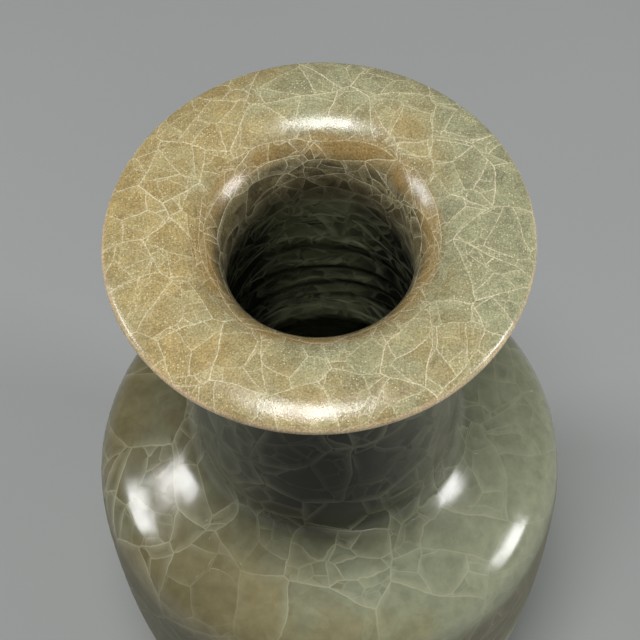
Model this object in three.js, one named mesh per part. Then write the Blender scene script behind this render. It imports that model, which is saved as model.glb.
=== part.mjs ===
// Flared-rim vase: wheel-thrown stoneware under a crackled celadon glaze.
// Four thrown sections and a foot ring are luted together with slip, then glazed inside and out.
// Millimetres, +Z up. The axis of the vase is the Z axis and the foot stands on z = 0.
// Every radius and height is a finished one, measured over the glaze, unless its name says clay.

import * as THREE from 'three';

// Whole vase
const HEIGHT = 246;
const SEGMENTS = 32;

// Flared rim
const RIM_RADIUS = 54;
const THROAT_RADIUS = 24;
const THROAT_BEND = 12.5;
const RIM_RISE = 15;
const LIP_DROOP = 21;

// Neck, a cone that widens downwards
const NECK_FOOT_RADIUS = 37.3;
const NECK_FOOT_HEIGHT = 163.7;
const NECK_LEAN = 7;
const NECK_EASE = 16;

// Shoulder, which is convex out to the belly and hollow from its turn to the foot of the neck
const SHOULDER_TURN_RADIUS = 55.8;
const SHOULDER_TURN_HEIGHT = 134.2;
const SHOULDER_SLOPE = 26.4;
const SHOULDER_REACH = 13.5;
const ROOT_REACH = 27.7;
const ROOT_EASE = 16.9;

// Body
const BELLY_RADIUS = 70.7;
const BELLY_HEIGHT = 103.2;
const BELLY_ROUNDING = 19.1;
const WALL_ROUNDING = 53.2;
const HEEL_EASE = 14.3;
const HEEL_BEND = 13;
const HEEL_ANGLE = 86;

// Foot ring
const FOOT_RADIUS = 47;
const FOOT_HEIGHT = 7;
const FOOT_RING_WIDTH = 7.5;
const FOOT_TAPER = 0.8;
const FOOT_EDGE = 1;

// Clay thickness at each place, and what is laid on it or between
const FLOOR_CLAY = 7.4;
const BELLY_CLAY = 4.6;
const SHOULDER_CLAY = 4.8;
const NECK_CLAY = 4.2;
const THROAT_CLAY = 4.4;
const RIM_CLAY = 3.8;
const LIP_CLAY = 2.6;
const GLAZE = 0.8;
const GLAZE_STOP = 0.4;
const BOND_GAP = 0.01;
const SLIP = 1;

// Steps along each stretch of the wall, and round a quarter of the lip
const HEEL_STEPS = 4;
const WALL_STEPS = 3;
const SHOULDER_STEPS = 5;
const ROOT_STEPS = 6;
const NECK_STEPS = 3;
const THROAT_STEPS = 4;
const RISE_STEPS = 1;
const DROOP_STEPS = 2;
const LIP_STEPS = 2;

const radians = THREE.MathUtils.degToRad;

function direction(angle) {
  return new THREE.Vector2(Math.cos(angle), Math.sin(angle));
}

// The outside of the wall lies to the right of the way from the floor's centre up to the lip.
function outward(angle) {
  return new THREE.Vector2(Math.sin(angle), -Math.cos(angle));
}

// The middle of the wall, for a finished outside point where the wall runs at this angle.
function middleOfWall(radius, height, angle, clay) {
  return new THREE.Vector2(radius, height).addScaledVector(outward(angle), -clay / 2 - GLAZE);
}

// The line that runs through the middle of the clay, in (radius, height), from the floor's centre to
// the lip. It grows stretch by stretch, each starting where the last one ended and in its direction.
// Each station holds its point, the outward direction and half of the clay's thickness there.
class WallLine {
  constructor(height, clay) {
    this.point = new THREE.Vector2(0, height);
    this.angle = 0;
    this.clay = clay;
    this.stations = [];
    this.marks = {};
    this.addStation(this.point, this.angle, clay);
  }

  addStation(point, angle, clay) {
    this.stations.push({ point: point.clone(), outward: outward(angle), half: clay / 2 });
  }

  mark(name) {
    this.marks[name] = this.stations.length - 1;
  }

  finish(point, angle, clay) {
    this.point = point;
    this.angle = angle;
    this.clay = clay;
  }

  straight(length, clay = this.clay) {
    const end = this.point.clone().addScaledVector(direction(this.angle), length);
    this.addStation(end, this.angle, clay);
    this.finish(end, this.angle, clay);
  }

  // An arc that turns to endAngle, to the right where that angle is the smaller one.
  bend(radius, endAngle, clay, steps) {
    const side = Math.sign(this.angle - endAngle);
    const centre = this.point.clone().addScaledVector(outward(this.angle), radius * side);
    const pointAt = (angle) => centre.clone().addScaledVector(outward(angle), -radius * side);
    const startAngle = this.angle;
    const startClay = this.clay;
    for (let step = 1; step <= steps; step += 1) {
      const angle = THREE.MathUtils.lerp(startAngle, endAngle, step / steps);
      const share = THREE.MathUtils.smoothstep(step / steps, 0, 1);
      this.addStation(pointAt(angle), angle, THREE.MathUtils.lerp(startClay, clay, share));
    }
    this.finish(pointAt(endAngle), endAngle, clay);
  }

  // A smooth curve to a point and an angle. The two eases say how far each end holds its direction.
  curve(end, endAngle, startEase, endEase, clay, steps) {
    const curve = new THREE.CubicBezierCurve(
      this.point,
      this.point.clone().addScaledVector(direction(this.angle), startEase),
      end.clone().addScaledVector(direction(endAngle), -endEase),
      end,
    );
    const startClay = this.clay;
    for (let step = 1; step < steps; step += 1) {
      const tangent = curve.getTangent(step / steps);
      const share = THREE.MathUtils.smoothstep(step / steps, 0, 1);
      const here = THREE.MathUtils.lerp(startClay, clay, share);
      this.addStation(curve.getPoint(step / steps), tangent.angle(), here);
    }
    this.addStation(end, endAngle, clay);
    this.finish(end, endAngle, clay);
  }
}

// The rim's dome takes up what the throat's bend leaves of the way from the throat to the lip.
const UP = Math.PI / 2;
const riseAngle = radians(RIM_RISE);
const droopAngle = -radians(LIP_DROOP);
const throatLine = THROAT_RADIUS + GLAZE + THROAT_CLAY / 2;
const lipLine = RIM_RADIUS - GLAZE - LIP_CLAY / 2;
const domeRun = lipLine - throatLine - THROAT_BEND * (1 - Math.sin(riseAngle));
const RIM_DOME = domeRun / (Math.sin(riseAngle) - Math.sin(droopAngle));
const crestLine = HEIGHT - GLAZE - RIM_CLAY / 2;
const domeRise = RIM_DOME * (1 - Math.cos(riseAngle));
const throatHeight = crestLine - domeRise - THROAT_BEND * Math.cos(riseAngle);

function buildWallLine() {
  const line = new WallLine(FOOT_HEIGHT + FLOOR_CLAY / 2, FLOOR_CLAY);
  line.mark('floorCentre');
  line.straight(FOOT_RADIUS - FOOT_RING_WIDTH - GLAZE_STOP);
  line.mark('wellEdge');
  line.straight(FOOT_RING_WIDTH + 2 * GLAZE_STOP);
  line.mark('footEdge');
  line.bend(HEEL_BEND, radians(HEEL_ANGLE), FLOOR_CLAY, HEEL_STEPS);
  const belly = middleOfWall(BELLY_RADIUS, BELLY_HEIGHT, UP, BELLY_CLAY);
  line.curve(belly, UP, HEEL_EASE, WALL_ROUNDING, BELLY_CLAY, WALL_STEPS);
  line.mark('bellyJoint');
  line.straight(SLIP);
  line.mark('bellySlipTop');
  const slopeAngle = Math.PI - radians(SHOULDER_SLOPE);
  const turn = middleOfWall(SHOULDER_TURN_RADIUS, SHOULDER_TURN_HEIGHT, slopeAngle, SHOULDER_CLAY);
  line.curve(turn, slopeAngle, BELLY_ROUNDING, SHOULDER_REACH, SHOULDER_CLAY, SHOULDER_STEPS);
  const neckAngle = UP + radians(NECK_LEAN);
  const neckFoot = middleOfWall(NECK_FOOT_RADIUS, NECK_FOOT_HEIGHT, neckAngle, NECK_CLAY);
  line.curve(neckFoot, neckAngle, ROOT_REACH, ROOT_EASE, NECK_CLAY, ROOT_STEPS);
  line.mark('neckJoint');
  line.straight(SLIP);
  line.mark('neckSlipTop');
  const throat = new THREE.Vector2(throatLine, throatHeight - SLIP);
  line.curve(throat, UP, NECK_EASE, NECK_EASE, THROAT_CLAY, NECK_STEPS);
  line.mark('rimJoint');
  line.straight(SLIP);
  line.mark('rimSlipTop');
  line.bend(THROAT_BEND, riseAngle, THROAT_CLAY, THROAT_STEPS);
  line.bend(RIM_DOME, 0, RIM_CLAY, RISE_STEPS);
  line.bend(RIM_DOME, droopAngle, LIP_CLAY, DROOP_STEPS);
  line.mark('lip');
  return line;
}

const wall = buildWallLine();

function stretch(from, to) {
  return wall.stations.slice(wall.marks[from], wall.marks[to] + 1);
}

// Points on one side of the clay, side 1 outside and -1 inside, at this height above the clay.
function face(stations, side, above = 0) {
  return stations.map(({ point, outward: away, half }) => (
    point.clone().addScaledVector(away, side * (half + above))
  ));
}

// A quarter of the lip's round edge, from the clay's side to the tip of the lip.
function lipQuarter(side, above = 0) {
  const { point, outward: away, half } = wall.stations[wall.marks.lip];
  const tip = direction(droopAngle);
  const points = [];
  for (let step = 1; step <= LIP_STEPS; step += 1) {
    const turn = (UP * step) / LIP_STEPS;
    points.push(point.clone()
      .addScaledVector(away, side * (half + above) * Math.cos(turn))
      .addScaledVector(tip, (half + above) * Math.sin(turn)));
  }
  return points;
}

function closed(points) {
  return [...points, points[0].clone()];
}

// A solid of revolution from its outline, which runs with the solid on its left, seen with +Z up.
function turned(name, outline, material) {
  const geometry = new THREE.LatheGeometry(outline, SEGMENTS);
  geometry.rotateX(Math.PI / 2);
  const mesh = new THREE.Mesh(geometry, material);
  mesh.name = name;
  return mesh;
}

const stoneware = () => new THREE.MeshStandardMaterial({ color: 0x8a6549, roughness: 0.85, metalness: 0 });
const lutingSlip = () => new THREE.MeshStandardMaterial({ color: 0x7b5a42, roughness: 0.9, metalness: 0 });
const celadon = () => new THREE.MeshStandardMaterial({ color: 0x8f9078, roughness: 0.3, metalness: 0 });

// A ring of the clay wall between two marks.
function wallRing(name, from, to, material) {
  const stations = stretch(from, to);
  return turned(name, closed([...face(stations, 1), ...face(stations, -1).reverse()]), material);
}

function lowerBody() {
  const stations = stretch('floorCentre', 'bellyJoint');
  const outline = [...face(stations, 1), ...face(stations, -1).reverse()];
  return turned('lower_body', outline, stoneware());
}

function flaredRim() {
  const stations = stretch('rimSlipTop', 'lip');
  const outline = [
    ...face(stations, 1),
    ...lipQuarter(1),
    ...lipQuarter(-1).reverse().slice(1),
    ...face(stations, -1).reverse(),
  ];
  return turned('flared_rim', closed(outline), stoneware());
}

// The ring that the vase stands on: its sides lean in to a narrower flat face with eased edges.
function footRing() {
  const top = FOOT_HEIGHT - SLIP;
  const inner = FOOT_RADIUS - FOOT_RING_WIDTH;
  const outline = [
    new THREE.Vector2(inner + FOOT_TAPER + FOOT_EDGE, 0),
    new THREE.Vector2(FOOT_RADIUS - FOOT_TAPER - FOOT_EDGE, 0),
    new THREE.Vector2(FOOT_RADIUS - FOOT_TAPER, FOOT_EDGE),
    new THREE.Vector2(FOOT_RADIUS, top),
    new THREE.Vector2(inner, top),
    new THREE.Vector2(inner + FOOT_TAPER, FOOT_EDGE),
  ];
  return turned('foot_ring', closed(outline), stoneware());
}

function footSlip() {
  const inner = FOOT_RADIUS - FOOT_RING_WIDTH;
  const outline = [
    new THREE.Vector2(inner, FOOT_HEIGHT - SLIP),
    new THREE.Vector2(FOOT_RADIUS, FOOT_HEIGHT - SLIP),
    new THREE.Vector2(FOOT_RADIUS, FOOT_HEIGHT),
    new THREE.Vector2(inner, FOOT_HEIGHT),
  ];
  return turned('foot_slip', closed(outline), lutingSlip());
}

// The outside coat runs from just above the foot ring to the tip of the lip. Each coat keeps the bond
// gap to the clay, which stands for the thin layer where the two have fused.
function outsideGlaze() {
  const stations = stretch('footEdge', 'lip');
  const outline = [
    ...face(stations, 1, GLAZE),
    ...lipQuarter(1, GLAZE),
    ...lipQuarter(1, BOND_GAP).reverse(),
    ...face(stations, 1, BOND_GAP).reverse(),
  ];
  return turned('glaze_outside', closed(outline), celadon());
}

// The inside coat lines the vase from the middle of the floor to the tip of the lip.
function insideGlaze() {
  const stations = stretch('floorCentre', 'lip');
  const outline = [
    ...face(stations, -1, BOND_GAP),
    ...lipQuarter(-1, BOND_GAP),
    ...lipQuarter(-1, GLAZE).reverse(),
    ...face(stations, -1, GLAZE).reverse(),
  ];
  return turned('glaze_inside', outline, celadon());
}

// The pool of glaze under the floor, inside the bare foot ring.
function footWellGlaze() {
  const stations = stretch('floorCentre', 'wellEdge');
  const outline = [...face(stations, 1, GLAZE), ...face(stations, 1, BOND_GAP).reverse()];
  return turned('glaze_foot_well', outline, celadon());
}

const vase = new THREE.Group();
vase.add(
  footRing(),
  footSlip(),
  lowerBody(),
  wallRing('belly_slip', 'bellyJoint', 'bellySlipTop', lutingSlip()),
  wallRing('shoulder', 'bellySlipTop', 'neckJoint', stoneware()),
  wallRing('neck_slip', 'neckJoint', 'neckSlipTop', lutingSlip()),
  wallRing('neck', 'neckSlipTop', 'rimJoint', stoneware()),
  wallRing('rim_slip', 'rimJoint', 'rimSlipTop', lutingSlip()),
  flaredRim(),
  outsideGlaze(),
  insideGlaze(),
  footWellGlaze(),
);

export default vase;
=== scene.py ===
"""A flared-rim vase: wheel-thrown stoneware under a crackled celadon glaze.

The sections of clay, the slip between them and the coats of glaze all follow one line through the middle
of the wall. Everything is in metres, with the vase's axis on Z and its foot standing on z = 0.
"""

import logging
import math
from collections.abc import Callable
from dataclasses import dataclass, field
from enum import Enum

import bmesh
import bpy
from bpy.types import Material, Node, NodeSocket, Object
from mathutils import Matrix, Vector, noise


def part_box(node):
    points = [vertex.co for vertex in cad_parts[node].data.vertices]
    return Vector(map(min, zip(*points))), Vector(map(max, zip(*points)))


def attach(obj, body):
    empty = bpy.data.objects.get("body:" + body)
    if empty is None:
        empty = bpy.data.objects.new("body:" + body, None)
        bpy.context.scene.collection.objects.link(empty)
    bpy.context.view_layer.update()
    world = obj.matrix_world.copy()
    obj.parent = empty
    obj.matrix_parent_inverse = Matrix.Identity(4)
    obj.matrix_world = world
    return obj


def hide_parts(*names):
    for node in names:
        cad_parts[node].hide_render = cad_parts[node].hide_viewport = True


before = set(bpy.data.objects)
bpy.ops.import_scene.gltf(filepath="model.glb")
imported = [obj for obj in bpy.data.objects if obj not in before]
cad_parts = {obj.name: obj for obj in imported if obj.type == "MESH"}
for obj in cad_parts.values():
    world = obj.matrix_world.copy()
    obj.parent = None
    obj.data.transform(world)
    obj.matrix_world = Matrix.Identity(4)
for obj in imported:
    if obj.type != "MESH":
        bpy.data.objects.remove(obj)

log = logging.getLogger("vase")

MM = 0.001
UP = math.pi / 2
SEGMENTS = 192
HIDDEN_FACE_STEP = 4
MERGE_DISTANCE = MM / 1000
SHARP_ANGLE = math.radians(40)
WANDER_SHIFT = Vector((3.1, 0.0, 7.7))


class Side(Enum):
    """Which side of the wall a face is on."""

    OUTSIDE = 1
    INSIDE = -1


class Slot(Enum):
    """The record's material slots."""

    STONEWARE = "stoneware"
    SLIP = "luting_slip"
    GLAZE = "celadon_glaze"


def along(angle: float) -> Vector:
    """The unit vector at an angle, in (radius, height)."""
    return Vector((math.cos(angle), math.sin(angle)))


def outward(angle: float) -> Vector:
    """The direction out of a wall that runs at an angle from the floor's centre up to the lip."""
    return Vector((math.sin(angle), -math.cos(angle)))


def flat(point: Vector) -> Vector:
    """The way from the axis to a point, level."""
    return Vector((point.x, point.y, 0.0))


def turns(point: Vector) -> float:
    """How far round the axis a point is, in turns."""
    return math.atan2(point.y, point.x) / (2 * math.pi)


def blend(start: float, end: float, share: float) -> float:
    """The value a share of the way from start to end, with both ends eased."""
    eased = share * share * (3 - 2 * share)
    return start + (end - start) * eased


@dataclass(frozen=True)
class Station:
    """One place on the middle of the wall: radius and height, direction, and half of the clay's thickness."""

    point: Vector
    angle: float
    half: float

    def face(self, side: Side, above: float = 0.0) -> Vector:
        """The point on one side of the clay, or above it by the thickness of a coat."""
        return self.point + outward(self.angle) * side.value * (self.half + above)


@dataclass
class VaseSizes:
    """The vase's sizes. The first ones are read from the frame, and the rest belong to this shape.

    The lip drops by the share lip_drop of what an arc that turns by lip_droop would drop.
    """

    height: float
    rim_radius: float
    belly_radius: float
    belly_height: float
    foot_radius: float
    foot_height: float
    slip: float
    throat_radius: float
    neck_joint_height: float

    glaze: float = 0.8 * MM
    glaze_stop: float = 0.4 * MM
    bond_gap: float = 0.01 * MM
    floor_clay: float = 7.4 * MM
    belly_clay: float = 4.6 * MM
    shoulder_clay: float = 4.8 * MM
    neck_clay: float = 4.2 * MM
    throat_clay: float = 4.4 * MM
    rim_clay: float = 3.8 * MM
    lip_clay: float = 3.0 * MM

    throat_bend: float = 12.5 * MM
    rim_rise: float = math.radians(15)
    lip_droop: float = math.radians(21)
    lip_drop: float = 0.92
    neck_foot_radius: float = 37.3 * MM
    neck_lean: float = math.radians(7)
    neck_ease: float = 16 * MM
    shoulder_turn_radius: float = 55.8 * MM
    shoulder_turn_height: float = 134.2 * MM
    shoulder_slope: float = math.radians(26.4)
    shoulder_reach: float = 13.5 * MM
    root_reach: float = 27.7 * MM
    root_ease: float = 16.9 * MM
    belly_rounding: float = 19.1 * MM
    wall_rounding: float = 53.2 * MM
    heel_ease: float = 14.3 * MM
    heel_bend: float = 13 * MM
    heel_angle: float = math.radians(86)
    foot_ring_width: float = 7.5 * MM
    foot_taper: float = 0.8 * MM
    foot_edge: float = 1 * MM

    @classmethod
    def from_frame(cls) -> "VaseSizes":
        """Reads the driving sizes, in metres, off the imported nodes."""
        glaze = cls.glaze
        foot_slip_low, foot_slip_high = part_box("foot_slip")
        neck_slip_low, neck_slip_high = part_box("neck_slip")
        return cls(
            height=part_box("glaze_inside")[1].z,
            rim_radius=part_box("flared_rim")[1].x + glaze,
            belly_radius=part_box("glaze_outside")[1].x,
            belly_height=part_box("belly_slip")[0].z,
            foot_radius=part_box("foot_ring")[1].x,
            foot_height=foot_slip_high.z,
            slip=foot_slip_high.z - foot_slip_low.z,
            throat_radius=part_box("rim_slip")[1].x - cls.throat_clay - glaze,
            neck_joint_height=(neck_slip_low.z + neck_slip_high.z) / 2,
        )


class WallLine:
    """The line through the middle of the clay, from the floor's centre to the lip."""

    def __init__(self, height: float, clay: float) -> None:
        """Starts on the axis, at the height of the middle of the floor."""
        self.point = Vector((0.0, height))
        self.angle = 0.0
        self.clay = clay
        self.stations: list[Station] = [Station(self.point, 0.0, clay / 2)]
        self.marks: dict[str, int] = {}

    def add(self, point: Vector, angle: float, clay: float) -> None:
        """Adds a station and goes on from it."""
        self.stations.append(Station(point, angle, clay / 2))
        self.point, self.angle, self.clay = point, angle, clay

    def mark(self, name: str) -> None:
        """Names the station that the line has reached."""
        self.marks[name] = len(self.stations) - 1

    def straight(self, length: float) -> None:
        """Runs straight on for a length."""
        self.add(self.point + along(self.angle) * length, self.angle, self.clay)

    def cross_joint(self, name: str, slip: float) -> None:
        """Runs over the slip in a joint and marks both of its faces."""
        self.mark(f"{name}_joint")
        self.straight(slip)
        self.mark(f"{name}_slip_top")

    def bend(self, radius: float, end_angle: float, clay: float, steps: int) -> None:
        """Runs round an arc.

        Args:
            radius: Radius of the arc.
            end_angle: The direction at its end, to the right where it is the smaller angle.
            clay: Thickness of the clay at its end.
            steps: Stations along it.
        """
        turn = math.copysign(radius, self.angle - end_angle)
        centre = self.point + outward(self.angle) * turn
        start_angle = self.angle
        start_clay = self.clay
        for step in range(1, steps + 1):
            share = step / steps
            angle = start_angle + (end_angle - start_angle) * share
            self.add(centre - outward(angle) * turn, angle, blend(start_clay, clay, share))

    def curve(
        self,
        end: Vector,
        end_angle: float,
        eases: tuple[float, float],
        clay: float,
        steps: int,
    ) -> None:
        """Runs along a smooth curve.

        Args:
            end: Where it ends.
            end_angle: The direction at its end.
            eases: How far its start and its end hold their direction.
            clay: Thickness of the clay at its end.
            steps: Stations along it.
        """
        start = self.point
        leave = start + along(self.angle) * eases[0]
        arrive = end - along(end_angle) * eases[1]
        start_clay = self.clay
        for step in range(1, steps + 1):
            share = step / steps
            left = 1 - share
            point = (
                start * left**3
                + leave * (3 * left**2 * share)
                + arrive * (3 * left * share**2)
                + end * share**3
            )
            way = (
                (leave - start) * left**2
                + (arrive - leave) * (2 * left * share)
                + (end - arrive) * share**2
            )
            self.add(point, math.atan2(way.y, way.x), blend(start_clay, clay, share))

    def face(self, start: str, end: str, side: Side, above: float = 0.0, every: int = 1) -> list[Vector]:
        """One side of the wall between two marks.

        Args:
            start: The lower mark.
            end: The upper mark.
            side: Which side.
            above: How far it lies above the clay.
            every: Takes only every few stations and the marks, as a face buried in the wall needs no more.

        Returns:
            Its points.
        """
        first, last = self.marks[start], self.marks[end]
        kept = set(self.marks.values())
        return [
            station.face(side, above)
            for index, station in enumerate(self.stations)
            if first <= index <= last and (index in kept or index % every == 0)
        ]


@dataclass
class Wall:
    """The whole wall's line, worked out from the sizes, with so many stations in each stretch."""

    sizes: VaseSizes
    floor_steps: int = 10
    heel_steps: int = 16
    body_steps: int = 48
    shoulder_steps: int = 44
    root_steps: int = 44
    neck_steps: int = 56
    throat_steps: int = 24
    rise_steps: int = 10
    droop_steps: int = 20
    lip_steps: int = 10
    line: WallLine = field(init=False)

    def __post_init__(self) -> None:
        """Runs the line from the floor's centre to the lip."""
        size = self.sizes
        self.line = WallLine(size.foot_height + size.floor_clay / 2, size.floor_clay)
        self.run_floor()
        self.run_body()
        self.run_neck()
        self.run_rim()

    def middle(self, radius: float, height: float, angle: float, clay: float) -> Vector:
        """The middle of the wall for a finished outside point where the wall runs at an angle."""
        return Vector((radius, height)) - outward(angle) * (clay / 2 + self.sizes.glaze)

    def run_floor(self) -> None:
        """Runs over the floor, the foot ring and the heel."""
        size, line = self.sizes, self.line
        well = size.foot_radius - size.foot_ring_width - size.glaze_stop
        line.mark("floor_centre")
        for _ in range(self.floor_steps):
            line.straight(well / self.floor_steps)
        line.mark("well_edge")
        line.straight(size.foot_ring_width + 2 * size.glaze_stop)
        line.mark("foot_edge")
        line.bend(size.heel_bend, size.heel_angle, size.floor_clay, self.heel_steps)

    def run_body(self) -> None:
        """Runs up the wall, over the belly joint and the shoulder."""
        size, line = self.sizes, self.line
        belly = self.middle(size.belly_radius, size.belly_height, UP, size.belly_clay)
        line.curve(belly, UP, (size.heel_ease, size.wall_rounding), size.belly_clay, self.body_steps)
        line.cross_joint("belly", size.slip)
        slope = math.pi - size.shoulder_slope
        turn = self.middle(size.shoulder_turn_radius, size.shoulder_turn_height, slope, size.shoulder_clay)
        eases = (size.belly_rounding, size.shoulder_reach)
        line.curve(turn, slope, eases, size.shoulder_clay, self.shoulder_steps)

    def run_neck(self) -> None:
        """Runs through the neck's root, over the neck joint and up the neck."""
        size, line = self.sizes, self.line
        lean = UP + size.neck_lean
        foot = self.middle(size.neck_foot_radius, size.neck_joint_height, lean, size.neck_clay)
        line.curve(foot, lean, (size.root_reach, size.root_ease), size.neck_clay, self.root_steps)
        line.cross_joint("neck", size.slip)

    def run_rim(self) -> None:
        """Runs up the neck, round the throat and over the rim. The dome takes up what the throat leaves."""
        size, line = self.sizes, self.line
        throat = size.throat_radius + size.glaze + size.throat_clay / 2
        lip = size.rim_radius - size.glaze - size.lip_clay / 2
        run = lip - throat - size.throat_bend * (1 - math.sin(size.rim_rise))
        dome = run / (math.sin(size.rim_rise) + math.sin(size.lip_droop))
        crest = size.height - size.glaze - size.rim_clay / 2
        dome_rise = dome * (1 - math.cos(size.rim_rise))
        throat_height = crest - dome_rise - size.throat_bend * math.cos(size.rim_rise)
        top = Vector((throat, throat_height - size.slip))
        line.curve(top, UP, (size.neck_ease, size.neck_ease), size.throat_clay, self.neck_steps)
        line.cross_joint("rim", size.slip)
        line.bend(size.throat_bend, size.rim_rise, size.throat_clay, self.throat_steps)
        line.bend(dome, 0.0, size.rim_clay, self.rise_steps)
        reach = dome * math.sin(size.lip_droop)
        drop = dome * (1 - math.cos(size.lip_droop)) * size.lip_drop
        droop = math.atan(3 * drop / reach)
        eases = (reach / 3, reach / 3 / math.cos(droop))
        line.curve(line.point + Vector((reach, -drop)), -droop, eases, size.lip_clay, self.droop_steps)
        line.mark("lip")

    def shell(self, start: str, end: str, tip: tuple[Vector, ...] = ()) -> list[Vector]:
        """The outline of a section between two marks: up its outside, over a tip and down its inside."""
        outside = self.line.face(start, end, Side.OUTSIDE, every=HIDDEN_FACE_STEP)
        inside = self.line.face(start, end, Side.INSIDE, every=HIDDEN_FACE_STEP)
        return [*outside, *tip, *reversed(inside)]

    def lip_quarter(self, side: Side, above: float = 0.0) -> list[Vector]:
        """A quarter of the lip's edge, so far above the clay, from after a side's last point to the tip."""
        lip = self.line.stations[self.line.marks["lip"]]
        reach = lip.half + above
        points = []
        for step in range(1, self.lip_steps + 1):
            turn = UP * step / self.lip_steps
            away = outward(lip.angle) * side.value * math.cos(turn)
            points.append(lip.point + (away + along(lip.angle) * math.sin(turn)) * reach)
        return points


@dataclass(frozen=True)
class HandThrown:
    """What the wheel and the hand leave in the shape.

    Attributes:
        sway: How far the clay leans out of true.
        steady_height: Height from which the sway is full.
        ridge_pitch: Height that the potter's fingers rise in one turn.
        ridge_fade: Height over which the ridges come up from their lowest and their highest place.
        bold_height: Height where they are boldest. They are calm from bold_reach above and below it.
        wander: How many turns a ridge wanders up or down, and the noise's frequency per metre.
        second_wave: Strength and phase of the finer wave on them.
        strength: Their usual strength, how much a noise changes it, and its frequency per metre.
    """

    sway: float = 0.35 * MM
    sway_size: float = 60 * MM
    sway_squash: float = 0.6
    steady_height: float = 30 * MM
    ridge: float = 0.7 * MM
    ridge_pitch: float = 12.5 * MM
    ridge_low: float = 20 * MM
    ridge_high: float = 214 * MM
    ridge_fade: float = 16 * MM
    bold_height: float = 186 * MM
    bold_reach: float = 26 * MM
    calm: float = 0.75
    wander: tuple[float, float] = (0.9, 22)
    second_wave: tuple[float, float] = (0.35, 0.8)
    strength: tuple[float, float, float] = (0.7, 0.5, 25)

    def swayed(self, point: Vector) -> Vector:
        """The place of a point once the wall is out of true. The foot stays as it is."""
        share = min(max(point.z / self.steady_height, 0.0), 1.0)
        where = Vector((point.x, point.y, point.z * self.sway_squash)) / self.sway_size
        push = noise.noise(where) * self.sway * blend(0.0, 1.0, share)
        if flat(point).length < self.sway:
            return point
        return point + flat(point).normalized() * push

    def ridge_at(self, point: Vector) -> float:
        """How far a throwing ridge stands in from the inside of the wall at a point."""
        if not self.ridge_low < point.z < self.ridge_high:
            return 0.0
        ends = min(point.z - self.ridge_low, self.ridge_high - point.z) / self.ridge_fade
        away = abs(point.z - self.bold_height) / self.bold_reach
        bold = 1 - self.calm * blend(0.0, 1.0, min(away, 1.0))
        reach, frequency = self.wander
        wander = noise.noise(point * frequency + WANDER_SHIFT) * reach
        phase = (point.z / self.ridge_pitch - turns(point) + wander) * 2 * math.pi
        second, shift = self.second_wave
        wave = math.cos(phase) + second * math.cos(2 * phase + shift)
        least, more, frequency = self.strength
        strength = least + more * noise.noise(point * frequency)
        height = 0.5 * self.ridge * (1 + wave * strength * bold)
        return max(height, 0.0) * blend(0.0, 1.0, min(ends, 1.0))


@dataclass
class Turner:
    """Turns outlines into solids of revolution and puts them on the frame."""

    thrown: HandThrown

    def spin(self, outline: list[Vector], closed: bool) -> bmesh.types.BMesh:
        """Spins an outline once round the axis.

        Args:
            outline: Points in (radius, height), on the axis at both ends unless the outline is closed.
            closed: Whether the last point joins the first.

        Returns:
            A closed mesh whose faces point outwards.
        """
        bm = bmesh.new()
        corners = [bm.verts.new((point.x, 0.0, point.y)) for point in outline]
        edges = [bm.edges.new(pair) for pair in zip(corners, corners[1:])]
        if closed:
            edges.append(bm.edges.new((corners[-1], corners[0])))
        whole = {"cent": (0, 0, 0), "axis": (0, 0, 1), "angle": 2 * math.pi, "use_merge": True}
        bmesh.ops.spin(bm, geom=corners + edges, steps=SEGMENTS, **whole)
        bmesh.ops.remove_doubles(bm, verts=bm.verts, dist=MERGE_DISTANCE)
        bmesh.ops.recalc_face_normals(bm, faces=bm.faces)
        return bm

    def turn(
        self,
        name: str,
        outline: list[Vector],
        slot: Slot,
        material: Material,
        closed: bool = True,
        shape: Callable[[bmesh.types.BMesh], None] | None = None,
    ) -> Object:
        """Makes the object that replaces the CAD node of its name.

        Args:
            name: Name of the CAD node.
            outline: The piece's outline, as for spin.
            slot: The record's material slot. It is not used.
            material: The piece's finish.
            closed: Whether the outline is closed.
            shape: What is done to the spun mesh.

        Returns:
            The object, riding on the vase's one body.
        """
        bm = self.spin(outline, closed)
        if shape:
            shape(bm)
        for vert in bm.verts:
            vert.co = self.thrown.swayed(vert.co)
        mesh = bpy.data.meshes.new(name)
        bm.to_mesh(mesh)
        bm.free()
        mesh.shade_smooth()
        mesh.set_sharp_from_angle(angle=SHARP_ANGLE)
        mesh.materials.append(material)
        piece = bpy.data.objects.new(f"turned_{name}", mesh)
        bpy.context.scene.collection.objects.link(piece)
        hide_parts(name)
        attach(piece, "root")
        low, high = piece.bound_box[0], piece.bound_box[6]
        log.info("%s: %d faces, z %.1f to %.1f mm", name, len(mesh.polygons), low[2] / MM, high[2] / MM)
        return piece


def rounded(corner: Vector, before: Vector, after: Vector, radius: float, steps: int = 4) -> list[Vector]:
    """The points that ease an outline's corner.

    Args:
        corner: The sharp corner.
        before: The outline's point before it.
        after: The outline's point after it.
        radius: How far from the corner the easing starts.
        steps: Pieces of the curve.

    Returns:
        Points along a curve that touches both sides.
    """
    start = corner + (before - corner).normalized() * radius
    end = corner + (after - corner).normalized() * radius
    points = []
    for step in range(steps + 1):
        share = step / steps
        points.append(start * (1 - share) ** 2 + corner * (2 * share * (1 - share)) + end * share**2)
    return points


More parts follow.
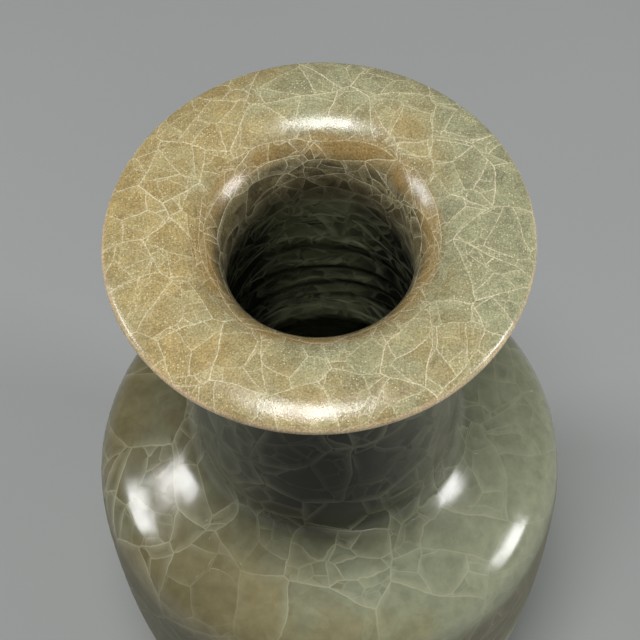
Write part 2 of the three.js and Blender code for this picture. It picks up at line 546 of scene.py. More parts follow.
@dataclass
class Foot:
    """The foot ring, the slip that lutes it and the pool of glaze in its well.

    The trimming tool's grooves reach from trim_low to trim_margin below the ring's top.
    """

    wall: Wall
    turner: Turner
    ring_rounding: float = 0.6 * MM
    trim_groove: float = 0.12 * MM
    trim_pitch: float = 1.4 * MM
    trim_cuts: int = 18
    trim_low: float = 1.8 * MM
    trim_margin: float = 0.5 * MM
    glaze_rounding: float = 0.7

    def ring(self, finish: Material) -> Object:
        """Builds the foot ring, with its sides trimmed on the wheel and its edges eased."""
        size = self.wall.sizes
        top = size.foot_height - size.slip
        inner = size.foot_radius - size.foot_ring_width
        corners = [
            Vector((inner + size.foot_taper + size.foot_edge, 0.0)),
            Vector((size.foot_radius - size.foot_taper - size.foot_edge, 0.0)),
            Vector((size.foot_radius - size.foot_taper, size.foot_edge)),
            Vector((size.foot_radius, top)),
            Vector((inner, top)),
            Vector((inner + size.foot_taper, size.foot_edge)),
        ]
        outline: list[Vector] = []
        for index, corner in enumerate(corners):
            before, after = corners[index - 1], corners[(index + 1) % len(corners)]
            if corner.y == top:
                outline.append(corner)
            else:
                outline += rounded(corner, before, after, self.ring_rounding)
        return self.turner.turn("foot_ring", outline, Slot.STONEWARE, finish, shape=self.trim)

    def trim(self, bm: bmesh.types.BMesh) -> None:
        """Cuts the fine grooves of the trimming tool into the ring's sides."""
        size = self.wall.sizes
        top = size.foot_height - size.slip
        rises = {edge: abs(edge.verts[0].co.z - edge.verts[1].co.z) for edge in bm.edges}
        side_edges = [edge for edge, rise in rises.items() if rise > self.trim_low]
        bmesh.ops.subdivide_edges(bm, edges=side_edges, cuts=self.trim_cuts, use_grid_fill=True)
        for vert in bm.verts:
            if not self.trim_low < vert.co.z < top - self.trim_margin:
                continue
            out = flat(vert.co)
            side = 1.0 if out.length > size.foot_radius - size.foot_ring_width / 2 else -1.0
            phase = (vert.co.z / self.trim_pitch - turns(vert.co)) * 2 * math.pi
            vert.co -= out.normalized() * side * self.trim_groove * (0.5 + 0.5 * math.cos(phase))

    def slip(self, finish: Material) -> Object:
        """Builds the ring of slip between the foot ring and the floor."""
        size = self.wall.sizes
        inner, outer = size.foot_radius - size.foot_ring_width, size.foot_radius
        low, high = size.foot_height - size.slip, size.foot_height
        outline = [Vector(corner) for corner in ((inner, low), (outer, low), (outer, high), (inner, high))]
        return self.turner.turn("foot_slip", outline, Slot.SLIP, finish)

    def well_glaze(self, finish: Material) -> Object:
        """Builds the pool of glaze inside the bare foot ring, with a rounded edge."""
        size, line = self.wall.sizes, self.wall.line
        low = line.face("floor_centre", "well_edge", Side.OUTSIDE, size.glaze)
        high = line.face("floor_centre", "well_edge", Side.OUTSIDE, size.bond_gap)
        edge = rounded(low[-1], low[-2], high[-1], size.glaze * self.glaze_rounding)
        outline = low[:-1] + edge + high[::-1]
        return self.turner.turn("glaze_foot_well", outline, Slot.GLAZE, finish, closed=False)

    def build(self, finishes: "Finishes") -> list[Object]:
        """Builds the sub-assembly's pieces."""
        return [
            self.ring(finishes.stoneware),
            self.slip(finishes.slip),
            self.well_glaze(finishes.glaze),
        ]


@dataclass
class ThrownSections:
    """The sections of clay above the foot ring, and the slip in their joints."""

    wall: Wall
    turner: Turner

    def build(self, finishes: "Finishes") -> list[Object]:
        """Builds the sub-assembly's pieces, from the bottom up."""
        clay, slip = (Slot.STONEWARE, finishes.stoneware), (Slot.SLIP, finishes.slip)
        shell, turn = self.wall.shell, self.turner.turn
        outer, inner = self.wall.lip_quarter(Side.OUTSIDE), self.wall.lip_quarter(Side.INSIDE)
        lip = (*outer, *inner[-2::-1])
        return [
            turn("lower_body", shell("floor_centre", "belly_joint"), *clay, closed=False),
            turn("belly_slip", shell("belly_joint", "belly_slip_top"), *slip),
            turn("shoulder", shell("belly_slip_top", "neck_joint"), *clay),
            turn("neck_slip", shell("neck_joint", "neck_slip_top"), *slip),
            turn("neck", shell("neck_slip_top", "rim_joint"), *clay),
            turn("rim_slip", shell("rim_joint", "rim_slip_top"), *slip),
            turn("flared_rim", shell("rim_slip_top", "lip", lip), *clay),
        ]


@dataclass
class GlazeCoats:
    """The coats of glaze outside and inside, which meet at the tip of the lip."""

    wall: Wall
    turner: Turner
    edge_rounding: float = 0.6
    smooth_radius: float = 5 * MM

    def outside(self, finish: Material) -> Object:
        """Builds the coat from just above the foot ring, where its edge is eased, to the tip of the lip."""
        size, line = self.wall.sizes, self.wall.line
        shown = line.face("foot_edge", "lip", Side.OUTSIDE, size.glaze)
        buried = line.face("foot_edge", "lip", Side.OUTSIDE, size.bond_gap, HIDDEN_FACE_STEP)
        edge = rounded(shown[0], buried[0], shown[1], size.glaze * self.edge_rounding)
        outline = edge + shown[1:]
        outline += self.wall.lip_quarter(Side.OUTSIDE, size.glaze)
        outline += self.wall.lip_quarter(Side.OUTSIDE, size.bond_gap)[::-1]
        outline += buried[::-1]
        return self.turner.turn("glaze_outside", outline, Slot.GLAZE, finish)

    def inside(self, finish: Material) -> Object:
        """Builds the lining from the floor over the throat and the rim to the tip of the lip."""
        size, line = self.wall.sizes, self.wall.line
        buried = line.face("floor_centre", "lip", Side.INSIDE, size.bond_gap, HIDDEN_FACE_STEP)
        shown = line.face("floor_centre", "lip", Side.INSIDE, size.glaze)
        outline = buried + self.wall.lip_quarter(Side.INSIDE, size.bond_gap)
        outline += self.wall.lip_quarter(Side.INSIDE, size.glaze)[::-1]
        outline += shown[::-1]
        return self.turner.turn("glaze_inside", outline, Slot.GLAZE, finish, False, self.add_ridges)

    def add_ridges(self, bm: bmesh.types.BMesh) -> None:
        """Lifts the throwing ridges on the lining's shown face. The ridges only thicken the coat."""
        bm.normal_update()
        moves = []
        for vert in bm.verts:
            out = flat(vert.co)
            if out.length > self.smooth_radius and vert.normal.dot(out) < 0:
                moves.append((vert, vert.normal * self.turner.thrown.ridge_at(vert.co)))
        for vert, move in moves:
            vert.co += move

    def build(self, finishes: "Finishes") -> list[Object]:
        """Builds the sub-assembly's pieces."""
        return [self.outside(finishes.glaze), self.inside(finishes.lining)]


Colour = tuple[float, float, float, float]
Ramp = tuple[float, ...]


class Field:
    """A number, a colour or a place that a material works out at each point of a surface."""

    def __init__(self, shader: "Shader", socket: NodeSocket) -> None:
        """Keeps a node's output and the material that the node is in."""
        self.shader = shader
        self.socket = socket

    def combined(self, operation: str, other: object = None) -> "Field":
        """What a Math node, or for places and colours a Vector Math node, makes of this and another value."""
        kind = "Math" if self.socket.type == "VALUE" else "VectorMath"
        second = "Scale" if operation == "SCALE" else 1
        output = "Value" if operation in ("DOT_PRODUCT", "LENGTH") else 0
        return self.shader.result(kind, {0: self, second: other}, output, operation=operation)

    def __add__(self, other: object) -> "Field":
        """This and another value."""
        return self.combined("ADD", other)

    def __sub__(self, other: object) -> "Field":
        """This less another value."""
        return self.combined("SUBTRACT", other)

    def __mul__(self, other: object) -> "Field":
        """This times another value. Only a number scales a place as a whole."""
        scales = self.socket.type != "VALUE" and isinstance(other, (int, float))
        return self.combined("SCALE" if scales else "MULTIPLY", other)

    def __truediv__(self, other: object) -> "Field":
        """This divided by another value."""
        return self.combined("DIVIDE", other)

    def __abs__(self) -> "Field":
        """This without its sign."""
        return self.combined("ABSOLUTE")

    def dot(self, other: object) -> "Field":
        """The dot product of this and another direction."""
        return self.combined("DOT_PRODUCT", other)

    def at_least(self, other: object) -> "Field":
        """The larger one of this and another number."""
        return self.combined("MAXIMUM", other)

    def less_than(self, other: object) -> "Field":
        """1 where this is less than another number, and otherwise 0."""
        return self.combined("LESS_THAN", other)

    def parts(self) -> list["Field"]:
        """A place's three coordinates, or a colour's red, green and blue."""
        kind = "Color" if self.socket.type == "RGBA" else "XYZ"
        made = self.shader.node(f"Separate{kind}", {0: self})
        return [Field(self.shader, socket) for socket in made.outputs]

    def step(self, low: float, high: float, start: float = 0, end: float = 1) -> "Field":
        """A smooth change from start to end while this goes from low to high."""
        inputs = dict(enumerate((self, low, high, start, end)))
        return self.shader.result("MapRange", inputs, interpolation_type="SMOOTHSTEP")

    def between(self, start: object, end: object) -> "Field":
        """The number that lies this share of the way from start to end."""
        return self.shader.result("Mix", {0: self, 2: start, 3: end}, data_type="FLOAT")

    def mix(self, first: object, second: object) -> "Field":
        """The first colour with this share of the second one mixed in."""
        return self.shader.result("Mix", {0: self, 6: first, 7: second}, 2, data_type="RGBA")

    def shade(self, colour: object) -> "Field":
        """A colour times this brightness."""
        grey = self.shader.result("CombineColor", dict.fromkeys(range(3), self))
        inputs = {0: 1, 6: colour, 7: grey}
        return self.shader.result("Mix", inputs, 2, data_type="RGBA", blend_type="MULTIPLY")

    def cloud(self, size: float, detail: float = 2, roughness: float = 0.5, output: object = 0) -> "Field":
        """A noise at this place.

        Args:
            size: About how wide its clouds are, in millimetres.
            detail: How many finer clouds they hold.
            roughness: How strong the finer clouds are.
            output: Which of the node's outputs is taken.

        Returns:
            The noise, from 0 to 1.
        """
        inputs = {"Vector": self, "Scale": 1 / size, "Detail": detail, "Roughness": roughness}
        return self.shader.result("TexNoise", inputs, output)

    def cells(self, size: float, feature: str = "F1", flat: bool = False) -> dict[str, "Field"]:
        """The outputs of a pattern of cells at this place, which are about one size across."""
        made = self.shader.node(
            "TexVoronoi",
            {"Vector": self, "Scale": 1 / size},
            feature=feature,
            voronoi_dimensions="2D" if flat else "3D",
        )
        return {socket.name: Field(self.shader, socket) for socket in made.outputs}

    def shaken(self, size: float, reach: float) -> "Field":
        """This place moved to and fro by up to half of a reach, in clouds of one size."""
        drift = self.cloud(size, 1, output="Color") - (0.5, 0.5, 0.5)
        return self + drift * reach

    def bump(self, distance: float, below: "Field | None" = None) -> "Field":
        """A normal bent by this height, where 1 stands for a distance in metres, over a coarser bump."""
        return self.shader.result("Bump", {"Distance": distance, "Height": self, "Normal": below})


class Shader:
    """A material's node tree, written down step by step."""

    def __init__(self, name: str) -> None:
        """Starts a material with an empty principled surface."""
        self.material = bpy.data.materials.new(name)
        self.material.use_nodes = True
        self.tree = self.material.node_tree
        self.surface = self.tree.nodes["Principled BSDF"]

    def put(self, socket: NodeSocket, value: object) -> None:
        """Links a socket, or sets its constant."""
        if isinstance(value, Field):
            self.tree.links.new(value.socket, socket)
        elif value is not None:
            socket.default_value = value

    def node(self, kind: str, inputs: dict, **settings: object) -> Node:
        """Adds a node, sets its options and fills its inputs, which are given by name or number."""
        made = self.tree.nodes.new(f"ShaderNode{kind}")
        count = len(self.tree.nodes)
        made.location = (-40 * count, -160 * (count % 8))
        for key, value in settings.items():
            setattr(made, key, value)
        for key, value in inputs.items():
            self.put(made.inputs[key], value)
        return made

    def result(self, kind: str, inputs: dict, output: object = 0, **settings: object) -> Field:
        """Adds a node and gives one of its outputs."""
        return Field(self, self.node(kind, inputs, **settings).outputs[output])

    def coordinate(self, name: str) -> Field:
        """One of the texture coordinates."""
        return self.result("TexCoord", {}, name)

    def millimetres(self) -> Field:
        """The place on the piece, in millimetres."""
        return self.coordinate("Object") * (1 / MM)

    def finished(self, colour: Field, roughness: object, normal: Field | None = None) -> Material:
        """Gives the surface its colour, roughness and normal, and hands over the material."""
        for name, value in (("Base Color", colour), ("Roughness", roughness), ("Normal", normal)):
            self.put(self.surface.inputs[name], value)
        return self.material


@dataclass(frozen=True)
class Patches:
    """A value that differs from patch to patch of a surface.

    Attributes:
        size: About how wide a patch is, in millimetres. Detail and roughness are as for a cloud.
        change: The noise's low and high end, and the values there.
    """

    size: float
    change: Ramp
    detail: float = 2
    roughness: float = 0.5

    def at(self, place: Field) -> Field:
        """The value at a place."""
        return place.cloud(self.size, self.detail, self.roughness).step(*self.change)


@dataclass(frozen=True)
class CrackleLevel:
    """One generation of cracks.

    Attributes:
        cell: Size of its cells, in millimetres.
        line: Width of its lines, in millimetres.
        pale: How pale its lines are, from 0 to 1.
        dip: How far a crack shows through the glaze on the side it dips to, in millimetres.
        share: The share of the coarser cells that it splits.
        around: How many times longer its cells are round the vase.
        along: How many times longer they are along the wall.
        flat: Whether its cracks run straight down through the rim.
    """

    cell: float
    line: float
    pale: float
    dip: float = 1.5
    share: float = 1
    around: float = 1
    along: float = 1
    flat: bool = False


# The share of a line's width that is fully pale.
LINE_CORE = 0.15
# The size in cells of the patches with fainter cracks, and how strong the cracks are in them.
CRACK_PATCH = 0.9
CRACK_STRENGTH = (0.35, 0.62, 0.50, 1)
# How flat a crack may dip, as a share of its slope squared. A flatter one would show as a blot.
FLATTEST_DIP = 0.08
# The share of a cell's tint that is its own and not the coarser cell's.
OWN_TINT = 0.55
# How many cells away the next generation's pattern is taken from.
PATTERN_SHIFT = 9


@dataclass(frozen=True)
class CrackleNet:
    """What a net of cracks gives to a finish, each from 0 to 1.

    Attributes:
        lines: How much of a line.
        dips: How much of a crack that shows through the glaze beside its line.
        tint: Each cell's own tint.
    """

    lines: Field
    dips: Field
    tint: Field

    @classmethod
    def build(cls, place: Field, facing: Field, levels: tuple[CrackleLevel, ...]) -> "CrackleNet":
        """Builds several generations of cracks, each within the cells of the one before.

        Args:
            place: Where on the pattern, in millimetres.
            facing: The direction out of the pattern's surface.
            levels: The generations, coarse to fine.

        Returns:
            The net.
        """
        lines, dips, tint, gate = 0, 0, 0.5, 1
        for level, finer in zip(levels, levels[1:] + levels[-1:]):
            squeeze = (1 / level.around, 1 / level.around, 1 / level.along)
            spot = place * squeeze
            own = spot.cells(level.cell, flat=level.flat)
            other = spot.cells(level.cell, "F2", level.flat)
            across = other["Position"] - own["Position"]
            middle = (other["Position"] + own["Position"]) * 0.5
            depth = abs((spot - middle).dot(across))
            climb = across * squeeze
            out, steep = climb.dot(facing), climb.dot(climb)
            in_surface = (steep - out * out).at_least(steep * FLATTEST_DIP)
            away = depth / in_surface.combined("SQRT")

            hue, chance, rank = own["Color"].parts()
            other_rank = other["Color"].parts()[2]
            seen = Patches(level.cell * CRACK_PATCH, CRACK_STRENGTH).at(place) * gate
            line = away.step(LINE_CORE * level.line, level.line, level.pale, 0)
            lines = (line * seen).at_least(lines)
            glow = away.step(0, level.dip, level.pale, 0) * other_rank.less_than(rank)
            dips = (glow * seen).at_least(dips)
            tint = hue * OWN_TINT + tint * (1 - OWN_TINT)
            gate = chance.less_than(finer.share) * gate
            place = place + own["Color"] * (level.cell * PATTERN_SHIFT)
        return cls(lines, dips, tint)

    def over(self, other: "CrackleNet", share: Field) -> "CrackleNet":
        """This net where the share is 1, and the other one where it is 0."""
        return CrackleNet(
            share.between(other.lines, self.lines),
            share.between(other.dips, self.dips),
            share.between(other.tint, self.tint),
        )


@dataclass(frozen=True)
class Spot:
    """The point that a glaze is worked out for, in millimetres, where arc is radius and height added up."""

    place: Field
    x: Field
    y: Field
    z: Field
    flat: Field
    radius: Field
    arc: Field

    @classmethod
    def of(cls, shader: Shader) -> "Spot":
        """Works it out in a material."""
        place = shader.millimetres()
        x, y, z = place.parts()
        flat = place * (1, 1, 0)
        radius = flat.combined("LENGTH")
        return cls(place, x, y, z, flat, radius, radius + z)


@dataclass(frozen=True)
class Coat:
    """What changes along one side of the wall.

    Attributes:
        on_rim: 1 on the rim, where its own net of cracks is, and 0 below it.
        glint_grain_share: The share of pale grains, partly the glaze's own specks and partly painted glints.
        cream: The colour of the cracks.
        line_share: How strongly their lines show.
        dip_share: How strongly they show through the glaze beside their lines.
        raised: The share of their relief.
    """

    on_rim: Field
    satin: Field
    glint_grain_share: Field
    cream: Field
    line_share: Field
    dip_share: Field
    raised: Field
    rough: Field


class Celadon:
    """Celadon with a pale net of cracks. One subclass is the outside's, and the other one the inside's.

    All lengths but the heights of bumps are in millimetres. What changes along the wall goes by height
    outside, and by radius and height added up inside. A cloud is given by its size, detail and roughness,
    a shake by its size and reach, and tones or a wander by their two limits.
    """

    rim_levels = (
        CrackleLevel(cell=14, line=0.22, pale=1, dip=1.8, flat=True),
        CrackleLevel(cell=9, line=0.19, pale=0.85, dip=1.5, share=0.9, flat=True),
        CrackleLevel(cell=5, line=0.15, pale=0.6, dip=0.9, share=0.30, flat=True),
    )
    wide_shake = (24, 9)
    fine_shake = (3.2, 0.7)

    warm_cloud = (38, 3)
    warm_to_right = 0.0040
    warm_to_back = 0.0014
    warm_by_cell = 0.15
    rim_warmth = (0.345, 0.725)
    rim_tan = (0.405, 0.305, 0.130, 1)
    rim_green = (0.31, 0.305, 0.18, 1)
    cream = (0.76, 0.69, 0.46, 1)
    glint_grain_colour = (0.76, 0.69, 0.42, 1)
    rim_tones = (0.80, 1.20)
    mottle = Patches(5, (0.25, 0.75, 0.86, 1.14), 4, 0.65)

    thin = Patches(16, (0.32, 0.58, 0.40, 0.85), 3)
    lip_radius = (53, 53.8)
    lip_height = (232, 240)
    lip_brown = (0.64, 0.47, 0.28, 1)

    # Pale grains on the rim, partly the glaze's own specks and partly painted glints of its sparkle.
    grain = 0.6
    grain_edge = (0.18, 0.38, 1, 0)
    grain_chance = (0.35, 0.95)
    glint_grain_patches = Patches(8, (0.34, 0.64, 0.30, 1), 3)
    fine_tone = Patches(0.5, (0.32, 0.68, 0.72, 1.26), 2, 0.7)

    satin_rough = Patches(6, (0.3, 0.7, 0.20, 0.29), 4, 0.7)
    refraction = 1.5
    swell = 0.10 * MM
    swell_size = 9
    pit = 0.035 * MM
    pit_cloud = (0.6, 2, 0.6)
    relief = 0.03 * MM

    def coat(self, spot: Spot) -> Coat:
        """Says what changes along this side of the wall."""
        raise NotImplementedError

    def lower_net(self, spot: Spot, bent: Field, facing: Field) -> CrackleNet:
        """Builds the cracks below the rim, where bent is the place shaken as on the rim."""
        raise NotImplementedError

    def ground(self, spot: Spot, tint: Field, warmth: Field, rim: Field) -> Field:
        """Builds the colour under the cracks, of which the rim's is given."""
        raise NotImplementedError

    def browned(self, spot: Spot, colour: Field, thin: Field) -> Field:
        """Browns the colour along the lip, where the glaze has run thin."""
        lip = spot.radius.step(*self.lip_radius) * spot.z.step(*self.lip_height)
        return (lip * thin).mix(colour, self.lip_brown)

    def warmth(self, spot: Spot, tint: Field) -> Field:
        """How green the glaze is, which goes by clouds, by cells and over the vase as a whole."""
        sides = spot.x * self.warm_to_right + spot.y * self.warm_to_back
        return spot.place.cloud(*self.warm_cloud) + sides + tint * self.warm_by_cell

    def grains(self, spot: Spot) -> Field:
        """Builds the pale grains, from 0 to 1, partly the glaze's own specks and partly painted glints of its
        sparkle.
        """
        grains = spot.place.cells(self.grain)
        chance = grains["Color"].parts()[0].step(*self.grain_chance)
        return grains["Distance"].step(*self.grain_edge) * chance * self.glint_grain_patches.at(spot.place)

    def material(self, name: str) -> Material:
        """Builds the glaze's material, which gets the name."""
        shader = Shader(name)
        spot = Spot.of(shader)
        coat = self.coat(spot)
        facing = shader.coordinate("Normal")
        bent = spot.place.shaken(*self.wide_shake).shaken(*self.fine_shake)
        lower = self.lower_net(spot, bent, facing)
        net = CrackleNet.build(bent, facing, self.rim_levels).over(lower, coat.on_rim)

        warmth = self.warmth(spot, net.tint)
        rim = warmth.step(*self.rim_warmth).mix(self.rim_tan, self.rim_green)
        colour = self.ground(spot, net.tint, warmth, rim)
        colour = self.browned(spot, colour, self.thin.at(spot.place))
        colour = (net.dips * coat.dip_share).mix(colour, coat.cream)
        colour = (net.lines * coat.line_share).mix(colour, coat.cream)
        colour = coat.satin.between(1, self.fine_tone.at(spot.place)).shade(colour)
        # Pale grains, partly the glaze's own specks and partly painted glints.
        colour = (self.grains(spot) * coat.glint_grain_share).mix(colour, self.glint_grain_colour)

        swell = spot.place.cloud(self.swell_size, 1).bump(self.swell)
        pits = (spot.place.cloud(*self.pit_cloud) * coat.satin).bump(self.pit, swell)
        scales = (net.dips * coat.raised).bump(self.relief, pits)
        shader.surface.inputs["IOR"].default_value = self.refraction
        return shader.finished(colour, coat.rough, scales)


class OuterCeladon(Celadon):
    """The outside's celadon, satin on the rim and glossy on the body."""

    body_levels = (
        CrackleLevel(cell=24, line=0.34, pale=0.90, dip=3),
        CrackleLevel(cell=13, line=0.29, pale=0.70, dip=2.5, share=0.85),
        CrackleLevel(cell=6.5, line=0.22, pale=0.40, dip=1.5, share=0.28),
    )
    body_pattern = (40, 9, 0)
    body_cream = (0.430, 0.425, 0.285, 1)
    rim_cracks = (222, 232)
    clear = Patches(42, (0.40, 0.58, 0.30, 1))
    low_clear = (112, 124, 0.6, 1)
    neck_lines = (136, 156, 0.62, 0.19)
    neck_dips = (136, 156, 0.36, 0.24)
    rim_lines = 0.78
    rim_dips = 0.13
    rim_relief = 0.15

    gloss = Patches(6, (0.3, 0.7, 0.15, 0.21), 4, 0.7)
    neck_matt = (148, 165)
    wall_matt = (114, 124, 1, 0)
    matt = 0.65

    rim_start = (226, 241)
    body_olive = (0.240, 0.210, 0.108, 1)
    body_green = (0.215, 0.230, 0.150, 1)
    body_warmth = (0.30, 0.64)
    less_by_cell = 0.05
    # Painted shade on the body's left side and painted light on its right side.
    painted_left_shade = (-66, 10, 0.62, 1)
    painted_right_light = (-20, 60, 1, 1.14)
    # Painted shade: a darker band on the body's lower wall, between about 45 and 125 mm high.
    painted_wall_shade = (0.125, 0.118, 0.074, 1)
    painted_wall_shade_starts = (45, 85)
    painted_wall_shade_ends = (108, 125, 1, 0)
    # Painted shade on the neck under the rim, darkest on its front and lighter towards its sides and back.
    painted_neck_shade = (0.056, 0.057, 0.038, 1)
    neck_start = (135, 152)
    neck_sides = 0.9
    neck_front_shade = (-34, 14, 0.34, 2)
    neck_tone_start = (140, 155)
    body_tones = (0.90, 1.10)
    neck_tones = (0.6, 1.4)

    def coat(self, spot: Spot) -> Coat:
        """Says what changes along the outside."""
        on_rim = spot.z.step(*self.rim_cracks)
        clear = self.clear.at(spot.place) * spot.z.step(*self.low_clear)
        hidden = spot.z.step(*self.neck_matt).at_least(spot.z.step(*self.wall_matt))
        gloss = hidden.between(self.gloss.at(spot.place), self.matt)
        return Coat(
            on_rim=on_rim,
            satin=on_rim,
            glint_grain_share=on_rim,
            cream=on_rim.mix(self.body_cream, self.cream),
            line_share=on_rim.between(clear * spot.z.step(*self.neck_lines), self.rim_lines),
            dip_share=on_rim.between(clear * spot.z.step(*self.neck_dips), self.rim_dips),
            raised=on_rim.between(1, self.rim_relief),
            rough=on_rim.between(gloss, self.satin_rough.at(spot.place)),
        )

    def lower_net(self, spot: Spot, bent: Field, facing: Field) -> CrackleNet:
        """Builds the large soft cells of the neck and the body."""
        return CrackleNet.build(bent + self.body_pattern, facing, self.body_levels)

    def ground(self, spot: Spot, tint: Field, warmth: Field, rim: Field) -> Field:
        """Builds the colour under the cracks, with painted shade on the neck, darkest on its front under the
        rim.
        """
        greenness = (warmth - tint * self.less_by_cell).step(*self.body_warmth)
        body = greenness.mix(self.body_olive, self.body_green)
        # Painted shade on the left of the body, painted light on its right.
        body = (spot.x.step(*self.painted_left_shade) * spot.x.step(*self.painted_right_light)).shade(body)
        # Painted shade on the lower wall.
        wall = spot.z.step(*self.painted_wall_shade_starts) * spot.z.step(*self.painted_wall_shade_ends)
        body = wall.mix(body, self.painted_wall_shade)
        # Painted shade: the neck's colour is darkest on its front and lighter at its sides and back.
        front_shade = (spot.y + abs(spot.x) * self.neck_sides).step(*self.neck_front_shade)
        below = spot.z.step(*self.neck_start).mix(body, front_shade.shade(self.painted_neck_shade))
        colour = spot.z.step(*self.rim_start).mix(below, rim)
        tones = (tint.between(*self.body_tones), tint.between(*self.neck_tones))
        tone = spot.z.step(*self.neck_tone_start).between(*tones)
        return (tone * self.mottle.at(spot.place)).shade(colour)


class InnerCeladon(Celadon):
    """The inside's celadon, satin on the rim and matt in the neck, with rows of cracks in the throat."""

    throat_levels = (
        CrackleLevel(cell=7, line=0.20, pale=1, dip=3, around=2),
        CrackleLevel(cell=6, line=0.17, pale=0.85, dip=2.4, share=0.9, along=1.5),
        CrackleLevel(cell=4.2, line=0.14, pale=0.5, dip=1.4, share=0.25),
    )
    throat_radius = 24
    throat_shake = (13, 6)
    inner_cream = (0.400, 0.430, 0.250, 1)
    relief = 0.25 * MM
    rim_start = (264, 280)
    along_arc = {
        "on_rim": (273, 277),
        "satin": (246, 262, 0.3, 1),
        "glint_grain_share": rim_start,
        "cream": (240, 262),
        # The cracks' one-sided pale glow is strong in the neck: partly the cracks seen through the glaze and
        # partly painted light on one side of each scale-like cell.
        "line_share": (236, 284, 0.22, 0.78),
        "dip_share": (234, 256, 0.62, 0.15),
        "raised": (236, 252, 1, 0.12),
        "gloss": (246, 262),
    }
    matt = 0.7

    # A painted pool of light: the inside's colour is lighter below about 95 to 130 mm high.
    painted_light_pool = (0.300, 0.325, 0.195, 1)
    inner_olive = (0.150, 0.168, 0.086, 1)
    neck_start = (95, 130)
    # Painted shade on the inside's left and right, and painted light between them, with a wandering edge.
    side_cloud = 14
    side_wander = (-6, 6)
    painted_side_shade = (9, 19, 1.2, 0.05)
    throat_dark = (0.112, 0.094, 0.047, 1)
    throat_start = (238, 254)
    throat_tones = (0.40, 1.60)
    brown = (0.310, 0.205, 0.072, 1)
    ring_cloud = (11, 3)
    ring_wander = (-3.5, 3.5)
    ring_starts = (263, 269)
    ring_ends = (272, 277, 1, 0)

    def coat(self, spot: Spot) -> Coat:
        """Says what changes along the inside."""
        along = {name: spot.arc.step(*ramp) for name, ramp in self.along_arc.items()}
        cream = along.pop("cream").mix(self.inner_cream, self.cream)
        rough = along.pop("gloss").between(self.matt, self.satin_rough.at(spot.place))
        return Coat(**along, cream=cream, rough=rough)

    def lower_net(self, spot: Spot, bent: Field, facing: Field) -> CrackleNet:
        """Builds the throat's rows of cracks, long round the vase with short cracks across."""
        around = spot.flat.combined("NORMALIZE")
        upright = spot.place.shader.result("CombineXYZ", {2: spot.arc})
        wrapped = (around * self.throat_radius + upright).shaken(*self.throat_shake)
        return CrackleNet.build(wrapped, around, self.throat_levels)

    def ground(self, spot: Spot, tint: Field, warmth: Field, rim: Field) -> Field:
        """Builds the colour under the cracks, with a painted pool of light low down, painted shade on the
        inside's left and right with painted light between them, and darker in the throat.
        """
        # Painted pool of light low inside.
        inner = spot.z.step(*self.neck_start).mix(self.painted_light_pool, self.inner_olive)
        wander = spot.place.cloud(self.side_cloud).between(*self.side_wander)
        # Painted shade on the two sides, painted light between them.
        inner = abs(spot.x + wander).step(*self.painted_side_shade).shade(inner)
        throat = spot.arc.step(*self.throat_start).mix(inner, self.throat_dark)
        on_rim = spot.arc.step(*self.rim_start)
        tone = on_rim.between(tint.between(*self.throat_tones), tint.between(*self.rim_tones))
        return (tone * self.mottle.at(spot.place)).shade(on_rim.mix(throat, rim))

    def browned(self, spot: Spot, colour: Field, thin: Field) -> Field:
        """Browns the colour at the throat's bend too."""
        along = spot.arc + spot.place.cloud(*self.ring_cloud).between(*self.ring_wander)
        ring = along.step(*self.ring_starts) * along.step(*self.ring_ends)
        return super().browned(spot, (ring * thin).mix(colour, self.brown), thin)


@dataclass(frozen=True)
class Clay:
    """Bare fired clay, matt and gritty, dark in the hollows, light on the grains, with iron freckles."""

    dark: Colour
    light: Colour
    grain: float = 0.7

    grit = 0.12 * MM
    grain_cloud = (4, 0.65)
    flame_cloud = (22, 3)
    tone_share = 0.55
    tones = (0.38, 0.72)
    freckle_cell = 2.6
    freckle_edge = (0.10, 0.16, 0.7, 0)
    iron = (0.045, 0.025, 0.015, 1)
    rough = (0.3, 0.7, 0.78, 0.92)

    def material(self, name: str) -> Material:
        """Builds the clay's material, which gets the name."""
        shader = Shader(name)
        place = shader.millimetres()
        grains = place.cloud(self.grain, *self.grain_cloud)
        tone = grains * self.tone_share + place.cloud(*self.flame_cloud) * self.tone_share
        colour = tone.step(*self.tones).mix(self.dark, self.light)
        freckles = place.cells(self.freckle_cell)["Distance"].step(*self.freckle_edge)
        colour = freckles.mix(colour, self.iron)
        return shader.finished(colour, grains.step(*self.rough), grains.bump(self.grit))


@dataclass(frozen=True)
class Finishes:
    """The materials of the whole vase."""

    glaze: Material
    lining: Material
    stoneware: Material
    slip: Material

    @classmethod
    def make(cls) -> "Finishes":
        """Builds each material once."""
        return cls(
            glaze=OuterCeladon().material("celadon"),
            lining=InnerCeladon().material("celadon_lining"),
            stoneware=Clay((0.115, 0.062, 0.034, 1), (0.30, 0.18, 0.105, 1)).material("stoneware"),
            slip=Clay((0.10, 0.06, 0.038, 1), (0.22, 0.15, 0.10, 1), 0.35).material("fired_slip"),
        )


@dataclass(frozen=True)
class Lamp:
    """A soft lamp that shines at the vase, in metres and watts."""

    name: str
    place: tuple[float, float, float]
    width: tuple[float, float]
    power: float


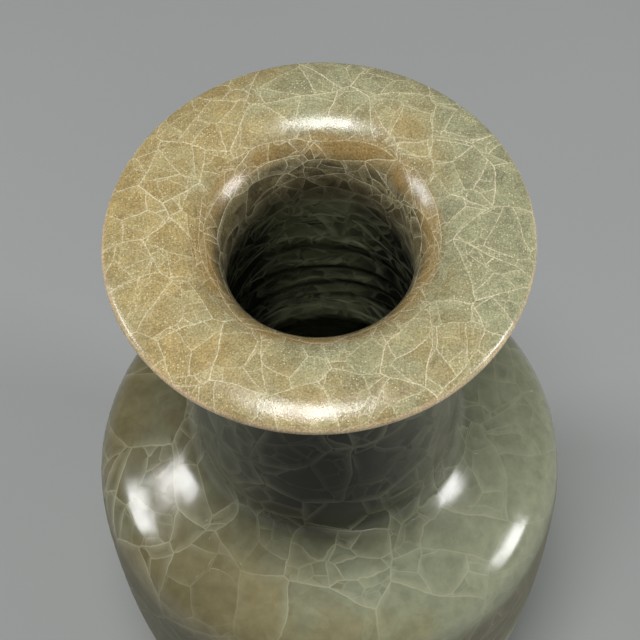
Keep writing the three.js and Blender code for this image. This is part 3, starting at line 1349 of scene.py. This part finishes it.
@dataclass
class Studio:
    """The floor, the lamps and the camera."""

    sizes: VaseSizes
    floor_radius: float = 12
    floor_segments: int = 96
    floor_colour: Colour = (0.325, 0.336, 0.330, 1)
    floor_rough: float = 0.7
    floor_tone: Patches = Patches(400, (0.3, 0.7, 0.97, 1.03), 3)
    world_strength: float = 0.1
    camera_place: tuple[float, float, float] = (-0.00074, -0.2386, 0.6202)
    camera_pitch: float = math.radians(60.37)
    camera_roll: float = math.radians(-2.78)
    lens: float = 101.25
    clipping: tuple[float, float] = (0.05, 60)
    lamp_aim: float = 0.7
    lamps: tuple[Lamp, ...] = (
        Lamp("overhead_lamp", (-0.10, -0.26, 1.68), (0.46, 0.46), 18),
        Lamp("left_lamp", (-1.158, 0.105, 0.715), (0.34, 0.32), 6.8),
        Lamp("right_lamp", (1.152, -0.293, 0.540), (0.32, 0.42), 8.6),
    )

    def build_floor(self) -> None:
        """Lays the plain floor that the vase stands on."""
        bm = bmesh.new()
        bmesh.ops.create_circle(bm, cap_ends=True, segments=self.floor_segments, radius=self.floor_radius)
        mesh = bpy.data.meshes.new("floor")
        bm.to_mesh(mesh)
        bm.free()
        shader = Shader("floor_paint")
        paint = self.floor_tone.at(shader.millimetres()).shade(self.floor_colour)
        mesh.materials.append(shader.finished(paint, self.floor_rough))
        floor = bpy.data.objects.new("floor", mesh)
        bpy.context.scene.collection.objects.link(floor)

    def build_lamps(self) -> None:
        """Hangs the lamps, each turned towards one point of the vase's neck."""
        target = Vector((0, 0, self.sizes.height * self.lamp_aim))
        for lamp in self.lamps:
            light = bpy.data.lights.new(lamp.name, "AREA")
            light.shape = "RECTANGLE"
            light.size, light.size_y = lamp.width
            light.energy = lamp.power
            holder = bpy.data.objects.new(lamp.name, light)
            holder.location = lamp.place
            holder.rotation_euler = (target - Vector(lamp.place)).to_track_quat("-Z", "Y").to_euler()
            bpy.context.scene.collection.objects.link(holder)

    def build_world(self) -> None:
        """Fills the room with a faint grey light."""
        world = bpy.data.worlds.new("room")
        world.use_nodes = True
        background = world.node_tree.nodes["Background"]
        background.inputs["Color"].default_value = self.floor_colour
        background.inputs["Strength"].default_value = self.world_strength
        bpy.context.scene.world = world

    def build_camera(self) -> None:
        """Places the camera above the vase, looking steeply down into its mouth."""
        data = bpy.data.cameras.new("camera")
        data.lens = self.lens
        data.clip_start, data.clip_end = self.clipping
        camera = bpy.data.objects.new("camera", data)
        pitch, roll = self.camera_pitch, self.camera_roll
        level = Vector((1, 0, 0))
        rise = Vector((0, math.sin(pitch), math.cos(pitch)))
        right = level * math.cos(roll) + rise * math.sin(roll)
        up = rise * math.cos(roll) - level * math.sin(roll)
        back = right.cross(up)
        turn = Matrix((right, up, back)).transposed().to_4x4()
        camera.matrix_world = Matrix.Translation(self.camera_place) @ turn
        bpy.context.scene.collection.objects.link(camera)
        bpy.context.scene.camera = camera

    def build(self) -> None:
        """Sets the whole stage."""
        self.build_camera()
        self.build_floor()
        self.build_lamps()
        self.build_world()
        bpy.context.scene.view_settings.view_transform = "Standard"


def main() -> None:
    """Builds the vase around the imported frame."""
    logging.basicConfig(level=logging.INFO, format="%(message)s")
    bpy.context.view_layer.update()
    sizes = VaseSizes.from_frame()
    Studio(sizes).build()
    wall = Wall(sizes)
    turner = Turner(HandThrown())
    finishes = Finishes.make()
    for assembly in (Foot(wall, turner), ThrownSections(wall, turner), GlazeCoats(wall, turner)):
        for piece in assembly.build(finishes):
            log.info("%s stands for its CAD node", piece.name)


if __name__ == "__main__":
    main()
